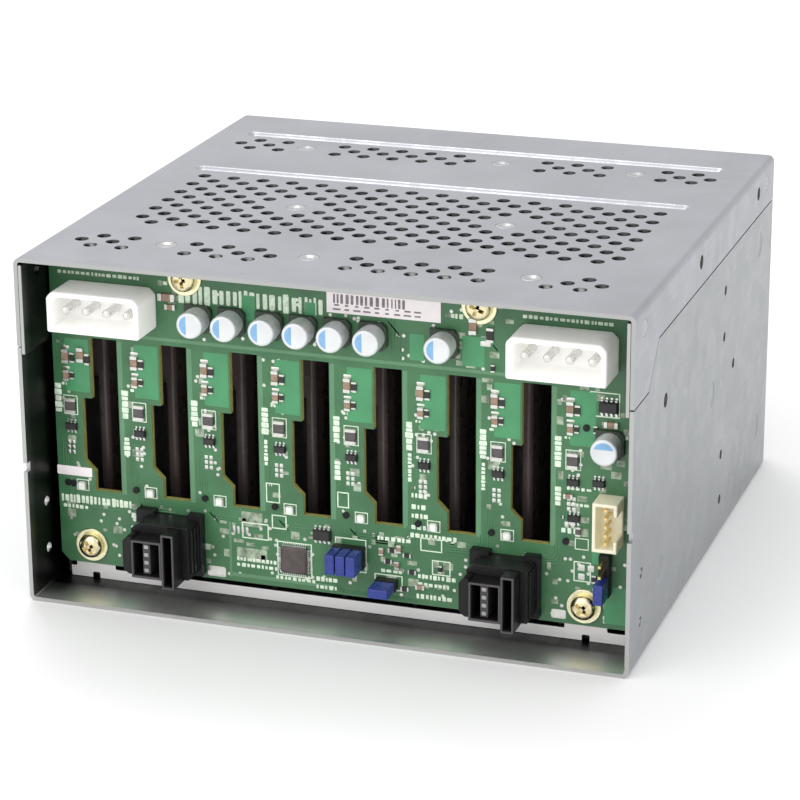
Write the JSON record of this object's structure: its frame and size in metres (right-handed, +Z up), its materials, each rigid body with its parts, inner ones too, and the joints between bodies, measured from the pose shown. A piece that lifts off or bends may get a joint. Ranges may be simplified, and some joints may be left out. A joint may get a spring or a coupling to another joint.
{
  "type": "hot swap drive cage",
  "caption": "Sheet-metal hot swap cage for small drives: perforated cover, backplane with power and data sockets, sliding trays with levers and release buttons.",
  "frame": {"origin": "middle of the footprint, on the surface that the case stands on", "axes": "+X across the bays, to the right as seen from the board end; +Y out of the tray side; +Z up"},
  "size_m": [0.146, 0.149, 0.0845],
  "materials": {
    "zinc_plated_steel": "spangled zinc plated sheet",
    "zinc_plated_cover": "spangled zinc plated sheet",
    "guide_plastic": "moulded",
    "rivet_steel": "bright",
    "circuit_board": "green solder mask",
    "brass": "bright",
    "washer_brass": "bright",
    "white_nylon": "moulded nylon",
    "tinned_pin": "tin plated",
    "black_plastic": "moulded",
    "gold_contact": "gold plated",
    "capacitor_can": "bright can",
    "cream_nylon": "moulded nylon",
    "blue_plastic": "moulded",
    "chip_plastic": "epoxy",
    "resistor_body": "printed",
    "ceramic_body": "fired",
    "led_lens": "clear cap",
    "label_paper": "printed label",
    "tray_plastic": "moulded",
    "drive_blank_plastic": "moulded",
    "lever_plastic": "moulded",
    "button_plastic": "moulded"
  },
  "bodies": {
    "cage": {"chassis_shell": "zinc_plated_steel", "top_cover": "zinc_plated_cover", "upper_guides": "guide_plastic", "lower_guides": "guide_plastic", "guide_rivets": "rivet_steel", "cover_rivets": "rivet_steel", "backplane_board": "circuit_board", "board_screws": "brass", "board_washers": "washer_brass", "power_connector_left": "white_nylon", "power_connector_right": "white_nylon", "power_pins": "tinned_pin", "sas_connector_left": "black_plastic", "sas_connector_right": "black_plastic", "sas_contacts": "gold_contact", "drive_connectors": "black_plastic", "capacitor_bases": "black_plastic", "capacitor_cans": "capacitor_can", "signal_header": "cream_nylon", "header_pins": "gold_contact", "jumper_headers": "black_plastic", "jumper_shunts": "blue_plastic", "controller_chip": "chip_plastic", "logic_chips": "chip_plastic", "chip_resistors": "resistor_body", "chip_capacitors": "ceramic_body", "status_leds": "led_lens", "board_label": "label_paper"},
    "tray_1": {"tray_1": "tray_plastic", "drive_blank_1": "drive_blank_plastic"},
    "lever_1": {"lever_1": "lever_plastic"},
    "button_1": {"release_button_1": "button_plastic"},
    "tray_2": {"tray_2": "tray_plastic", "drive_blank_2": "drive_blank_plastic"},
    "lever_2": {"lever_2": "lever_plastic"},
    "button_2": {"release_button_2": "button_plastic"},
    "tray_3": {"tray_3": "tray_plastic", "drive_blank_3": "drive_blank_plastic"},
    "lever_3": {"lever_3": "lever_plastic"},
    "button_3": {"release_button_3": "button_plastic"},
    "tray_4": {"tray_4": "tray_plastic", "drive_blank_4": "drive_blank_plastic"},
    "lever_4": {"lever_4": "lever_plastic"},
    "button_4": {"release_button_4": "button_plastic"},
    "tray_5": {"tray_5": "tray_plastic", "drive_blank_5": "drive_blank_plastic"},
    "lever_5": {"lever_5": "lever_plastic"},
    "button_5": {"release_button_5": "button_plastic"},
    "tray_6": {"tray_6": "tray_plastic", "drive_blank_6": "drive_blank_plastic"},
    "lever_6": {"lever_6": "lever_plastic"},
    "button_6": {"release_button_6": "button_plastic"},
    "tray_7": {"tray_7": "tray_plastic", "drive_blank_7": "drive_blank_plastic"},
    "lever_7": {"lever_7": "lever_plastic"},
    "button_7": {"release_button_7": "button_plastic"},
    "tray_8": {"tray_8": "tray_plastic", "drive_blank_8": "drive_blank_plastic"},
    "lever_8": {"lever_8": "lever_plastic"},
    "button_8": {"release_button_8": "button_plastic"}
  },
  "joints": [
    {"name": "tray_1_slide", "type": "slide", "parent": "cage", "child": "tray_1", "axis": [0, 1, 0], "range_m": [0, 0.13]},
    {"name": "lever_1_hinge", "type": "hinge", "parent": "tray_1", "child": "lever_1", "pos_m": [-0.06125, 0.0686, 0.0087], "axis": [-1, 0, 0], "range_deg": [0, 55]},
    {"name": "button_1_press", "type": "slide", "parent": "tray_1", "child": "button_1", "axis": [0, -1, 0], "range_m": [0, 0.0015], "stiffness_N_per_m": 300},
    {"name": "tray_2_slide", "type": "slide", "parent": "cage", "child": "tray_2", "axis": [0, 1, 0], "range_m": [0, 0.13]},
    {"name": "lever_2_hinge", "type": "hinge", "parent": "tray_2", "child": "lever_2", "pos_m": [-0.04375, 0.0686, 0.0087], "axis": [-1, 0, 0], "range_deg": [0, 55]},
    {"name": "button_2_press", "type": "slide", "parent": "tray_2", "child": "button_2", "axis": [0, -1, 0], "range_m": [0, 0.0015], "stiffness_N_per_m": 300},
    {"name": "tray_3_slide", "type": "slide", "parent": "cage", "child": "tray_3", "axis": [0, 1, 0], "range_m": [0, 0.13]},
    {"name": "lever_3_hinge", "type": "hinge", "parent": "tray_3", "child": "lever_3", "pos_m": [-0.02625, 0.0686, 0.0087], "axis": [-1, 0, 0], "range_deg": [0, 55]},
    {"name": "button_3_press", "type": "slide", "parent": "tray_3", "child": "button_3", "axis": [0, -1, 0], "range_m": [0, 0.0015], "stiffness_N_per_m": 300},
    {"name": "tray_4_slide", "type": "slide", "parent": "cage", "child": "tray_4", "axis": [0, 1, 0], "range_m": [0, 0.13]},
    {"name": "lever_4_hinge", "type": "hinge", "parent": "tray_4", "child": "lever_4", "pos_m": [-0.00875, 0.0686, 0.0087], "axis": [-1, 0, 0], "range_deg": [0, 55]},
    {"name": "button_4_press", "type": "slide", "parent": "tray_4", "child": "button_4", "axis": [0, -1, 0], "range_m": [0, 0.0015], "stiffness_N_per_m": 300},
    {"name": "tray_5_slide", "type": "slide", "parent": "cage", "child": "tray_5", "axis": [0, 1, 0], "range_m": [0, 0.13]},
    {"name": "lever_5_hinge", "type": "hinge", "parent": "tray_5", "child": "lever_5", "pos_m": [0.00875, 0.0686, 0.0087], "axis": [-1, 0, 0], "range_deg": [0, 55]},
    {"name": "button_5_press", "type": "slide", "parent": "tray_5", "child": "button_5", "axis": [0, -1, 0], "range_m": [0, 0.0015], "stiffness_N_per_m": 300},
    {"name": "tray_6_slide", "type": "slide", "parent": "cage", "child": "tray_6", "axis": [0, 1, 0], "range_m": [0, 0.13]},
    {"name": "lever_6_hinge", "type": "hinge", "parent": "tray_6", "child": "lever_6", "pos_m": [0.02625, 0.0686, 0.0087], "axis": [-1, 0, 0], "range_deg": [0, 55]},
    {"name": "button_6_press", "type": "slide", "parent": "tray_6", "child": "button_6", "axis": [0, -1, 0], "range_m": [0, 0.0015], "stiffness_N_per_m": 300},
    {"name": "tray_7_slide", "type": "slide", "parent": "cage", "child": "tray_7", "axis": [0, 1, 0], "range_m": [0, 0.13]},
    {"name": "lever_7_hinge", "type": "hinge", "parent": "tray_7", "child": "lever_7", "pos_m": [0.04375, 0.0686, 0.0087], "axis": [-1, 0, 0], "range_deg": [0, 55]},
    {"name": "button_7_press", "type": "slide", "parent": "tray_7", "child": "button_7", "axis": [0, -1, 0], "range_m": [0, 0.0015], "stiffness_N_per_m": 300},
    {"name": "tray_8_slide", "type": "slide", "parent": "cage", "child": "tray_8", "axis": [0, 1, 0], "range_m": [0, 0.13]},
    {"name": "lever_8_hinge", "type": "hinge", "parent": "tray_8", "child": "lever_8", "pos_m": [0.06125, 0.0686, 0.0087], "axis": [-1, 0, 0], "range_deg": [0, 55]},
    {"name": "button_8_press", "type": "slide", "parent": "tray_8", "child": "button_8", "axis": [0, -1, 0], "range_m": [0, 0.0015], "stiffness_N_per_m": 300}
  ]
}
